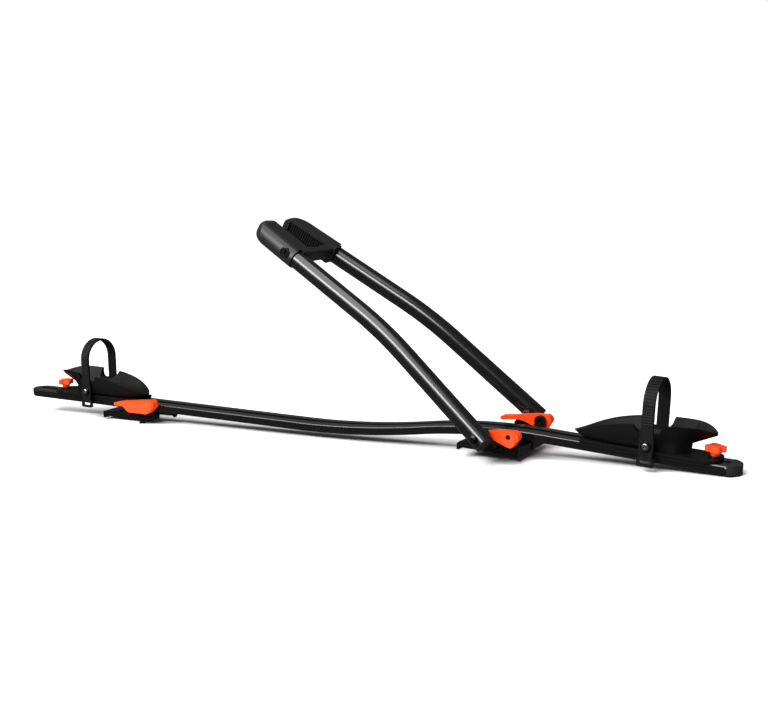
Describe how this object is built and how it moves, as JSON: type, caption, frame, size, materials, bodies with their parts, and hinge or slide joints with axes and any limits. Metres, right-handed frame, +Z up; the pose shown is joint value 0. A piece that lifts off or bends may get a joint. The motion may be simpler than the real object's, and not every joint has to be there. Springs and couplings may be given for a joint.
{
  "type": "roof bike carrier",
  "caption": "Roof carrier for a bicycle: a slotted rail on two lever clamps, sliding wheel trays with straps, and a folding arm frame with a gripping head.",
  "frame": {"origin": "on the floor under the middle of the rail, on the centre plane", "axes": "+X along the rail to its front end, +Y to the side away from the lock, +Z up"},
  "size_m": [1.3802, 0.2394, 0.3695],
  "materials": {
    "rail_gloss": "gloss powder coat",
    "tube_gloss": "gloss powder coat",
    "cap_matte": "matt moulded",
    "tray_matte": "fine moulded grain",
    "strap_rubber": "matt",
    "pad_rubber": "matt",
    "lever_orange": "moulded satin gloss",
    "clamp_satin": "satin powder coat",
    "head_satin": "satin moulded",
    "steel": "bright zinc",
    "dark_steel": "black zinc"
  },
  "bodies": {
    "carrier": {"rail": "rail_gloss", "rail_cap_front": "cap_matte", "rail_cap_rear": "cap_matte", "front_saddle": "clamp_satin", "front_saddle_pad": "pad_rubber", "front_saddle_bolts": "steel", "front_saddle_nuts": "steel", "rear_saddle": "clamp_satin", "rear_saddle_pad": "pad_rubber", "rear_saddle_bolts": "steel", "rear_saddle_nuts": "dark_steel", "arm_pivot_bolt_near": "dark_steel", "arm_pivot_bolt_far": "dark_steel", "arm_pivot_nut_near": "steel", "arm_pivot_nut_far": "steel"},
    "arm_frame": {"arm_near": "tube_gloss", "arm_far": "tube_gloss", "arm_plug_near": "cap_matte", "arm_plug_far": "cap_matte", "head_near": "head_satin", "head_far": "head_satin", "head_bridge": "head_satin", "bridge_screws": "steel", "grip_pad_far": "pad_rubber"},
    "jaw_block": {"grip_jaw": "head_satin", "grip_pad_near": "pad_rubber"},
    "lock": {"lock_barrel": "dark_steel"},
    "front_claw_near": {"front_jaw_near": "clamp_satin", "front_lever_pin_near": "dark_steel"},
    "front_claw_far": {"front_jaw_far": "clamp_satin", "front_lever_pin_far": "dark_steel"},
    "rear_claw": {"rear_jaw": "clamp_satin", "rear_lever_pin": "dark_steel"},
    "lever_near": {"front_lever_near": "lever_orange"},
    "lever_far": {"front_lever_far": "lever_orange"},
    "lever_rear": {"rear_lever": "lever_orange"},
    "front_cradle": {"front_tray": "tray_matte", "front_tray_stud": "steel", "front_tray_washer": "steel", "front_strap": "strap_rubber", "front_strap_bolt": "steel", "front_strap_washer": "dark_steel", "front_strap_nut": "steel"},
    "rear_cradle": {"rear_tray": "tray_matte", "rear_tray_stud": "steel", "rear_tray_washer": "steel", "rear_strap": "strap_rubber", "rear_strap_bolt": "steel", "rear_strap_washer": "dark_steel", "rear_strap_nut": "steel"},
    "knob_front": {"front_tray_knob": "lever_orange"},
    "knob_rear": {"rear_tray_knob": "lever_orange"}
  },
  "joints": [
    {"name": "arm_fold", "type": "hinge", "parent": "carrier", "child": "arm_frame", "pos_m": [0.3305, 0, 0.048], "axis": [0, 1, 0], "range_deg": [-36, 55]},
    {"name": "grip_slide", "type": "slide", "parent": "arm_frame", "child": "jaw_block", "axis": [0.0783, 0.9945, -0.0693], "range_m": [0, 0.018]},
    {"name": "lock_turn", "type": "hinge", "parent": "arm_frame", "child": "lock", "pos_m": [-0.01944, -0.07061, 0.31703], "axis": [-0.0783, -0.9945, 0.0693], "range_deg": [0, 90]},
    {"name": "claw_near_slide", "type": "slide", "parent": "carrier", "child": "front_claw_near", "axis": [0.9983, 0, -0.0576], "range_m": [0, 0.008]},
    {"name": "claw_far_slide", "type": "slide", "parent": "carrier", "child": "front_claw_far", "axis": [0.9983, 0, -0.0576], "range_m": [0, 0.008]},
    {"name": "claw_rear_slide", "type": "slide", "parent": "carrier", "child": "rear_claw", "axis": [0.9995, 0, -0.0323], "range_m": [0, 0.008]},
    {"name": "lever_near_turn", "type": "hinge", "parent": "front_claw_near", "child": "lever_near", "pos_m": [0.36417, -0.062, 0.0433], "axis": [0, 1, 0], "range_deg": [0, 100]},
    {"name": "lever_far_turn", "type": "hinge", "parent": "front_claw_far", "child": "lever_far", "pos_m": [0.36417, 0.062, 0.0433], "axis": [0, 1, 0], "range_deg": [0, 100]},
    {"name": "lever_rear_turn", "type": "hinge", "parent": "rear_claw", "child": "lever_rear", "pos_m": [-0.36304, -0.037, 0.03862], "axis": [0, 1, 0], "range_deg": [0, 100]},
    {"name": "front_cradle_slide", "type": "slide", "parent": "carrier", "child": "front_cradle", "axis": [0.9963, 0, -0.0854], "range_m": [-0.028, 0.012]},
    {"name": "rear_cradle_slide", "type": "slide", "parent": "carrier", "child": "rear_cradle", "axis": [0.9995, 0, -0.0323], "range_m": [-0.045, 0.02]},
    {"name": "knob_front_turn", "type": "hinge", "parent": "front_cradle", "child": "knob_front", "pos_m": [0.65172, 0, 0.02873], "axis": [0.0854, 0, 0.9963], "continuous": true},
    {"name": "knob_rear_turn", "type": "hinge", "parent": "rear_cradle", "child": "knob_rear", "pos_m": [-0.60518, 0, 0.05485], "axis": [0.0323, 0, 0.9995], "continuous": true}
  ],
  "couplings": [
    {"joint": "lever_near_turn", "follows": "claw_near_slide", "rad_per_m": 218},
    {"joint": "lever_far_turn", "follows": "claw_far_slide", "rad_per_m": 218},
    {"joint": "lever_rear_turn", "follows": "claw_rear_slide", "rad_per_m": 218}
  ]
}
